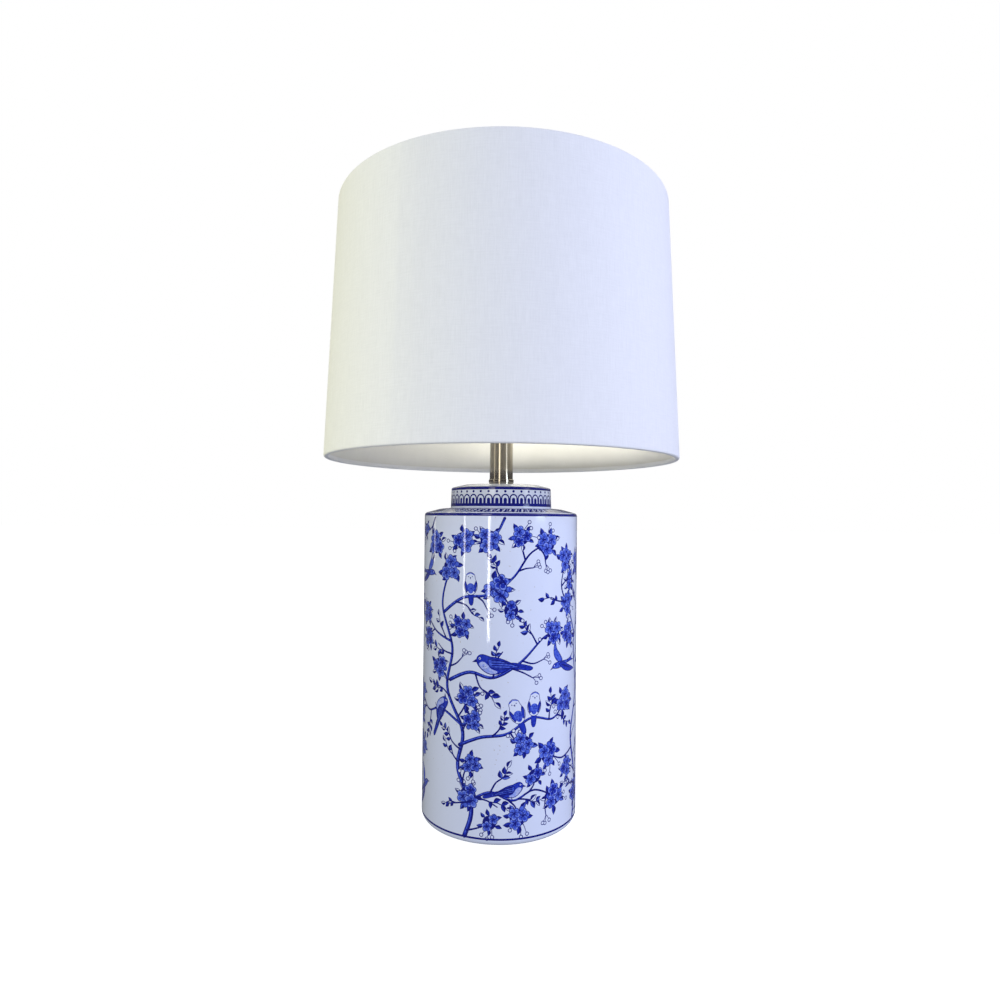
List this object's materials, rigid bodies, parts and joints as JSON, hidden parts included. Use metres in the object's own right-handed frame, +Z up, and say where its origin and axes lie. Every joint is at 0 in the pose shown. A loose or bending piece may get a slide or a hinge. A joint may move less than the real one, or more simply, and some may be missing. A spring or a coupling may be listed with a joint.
{
  "type": "ginger jar table lamp",
  "caption": "Table lamp on a lidded cylindrical ceramic jar, with a metal neck, a harp and a tapered drum shade.",
  "frame": {"origin": "on the table, at the middle of the jar's foot", "axes": "+Z up along the lamp's axis; +Y towards the cord outlet at the back; -Y towards the switch knob; the harp stands in the XZ plane"},
  "size_m": [0.3788, 0.3788, 0.6652],
  "materials": {
    "porcelain": "glossy glaze",
    "felt": "felt",
    "satin_nickel": "satin nickel",
    "plated_steel": "zinc plated",
    "brass": "plain",
    "white_plastic": "satin",
    "black_phenolic": "moulded",
    "fibre": "pressed fibre",
    "white_wire": "enamel",
    "shade_liner": "matt translucent sheet",
    "linen": "plain-woven linen",
    "bulb_glass": "frosted",
    "bulb_metal": "rolled",
    "black_glass": "opaque",
    "solder": "dull"
  },
  "bodies": {
    "lamp_body": {"felt_pad": "felt", "ginger_jar": "porcelain", "cord_bushing": "white_plastic", "base_nut": "plated_steel", "base_lock_washer": "plated_steel", "base_washer": "plated_steel", "lamp_rod": "plated_steel", "jar_lid": "porcelain", "neck_collar": "satin_nickel", "neck_tube": "satin_nickel", "neck_cap": "satin_nickel", "harp_saddle": "satin_nickel", "saddle_washer": "plated_steel", "harp": "satin_nickel", "socket_cap": "satin_nickel", "socket_set_screw": "plated_steel", "socket_shell": "satin_nickel", "socket_insulator": "fibre", "socket_body": "black_phenolic", "terminal_screws": "brass", "socket_screw_shell": "brass", "socket_contact": "brass"},
    "switch": {"switch_key": "brass", "switch_knob": "black_phenolic"},
    "shade": {"swivel_stud": "satin_nickel", "shade_spider": "white_wire", "shade_top_ring": "white_wire", "shade_bottom_ring": "white_wire", "shade_liner": "shade_liner", "shade_linen": "linen"},
    "finial": {"finial": "satin_nickel"},
    "bulb": {"bulb_glass": "bulb_glass", "bulb_cap": "bulb_metal", "bulb_insulator": "black_glass", "bulb_contact": "solder"},
    "sleeve_left": {"harp_sleeve_left": "satin_nickel"},
    "sleeve_right": {"harp_sleeve_right": "satin_nickel"}
  },
  "joints": [
    {"name": "switch_turn", "type": "hinge", "parent": "lamp_body", "child": "switch", "pos_m": [0, -0.0254, 0.4384], "axis": [0, -1, 0], "continuous": true},
    {"name": "shade_swivel", "type": "hinge", "parent": "lamp_body", "child": "shade", "pos_m": [0, 0, 0.6359], "axis": [0, 0, 1], "continuous": true},
    {"name": "finial_turn", "type": "hinge", "parent": "shade", "child": "finial", "pos_m": [0, 0, 0.6446], "axis": [0, 0, 1], "continuous": true},
    {"name": "bulb_turn", "type": "hinge", "parent": "lamp_body", "child": "bulb", "pos_m": [0, 0, 0.47], "axis": [0, 0, 1], "range_deg": [0, 1080]},
    {"name": "sleeve_left_lift", "type": "slide", "parent": "lamp_body", "child": "sleeve_left", "axis": [0, 0, 1], "range_m": [0, 0.0165]},
    {"name": "sleeve_right_lift", "type": "slide", "parent": "lamp_body", "child": "sleeve_right", "axis": [0, 0, 1], "range_m": [0, 0.0165]}
  ]
}
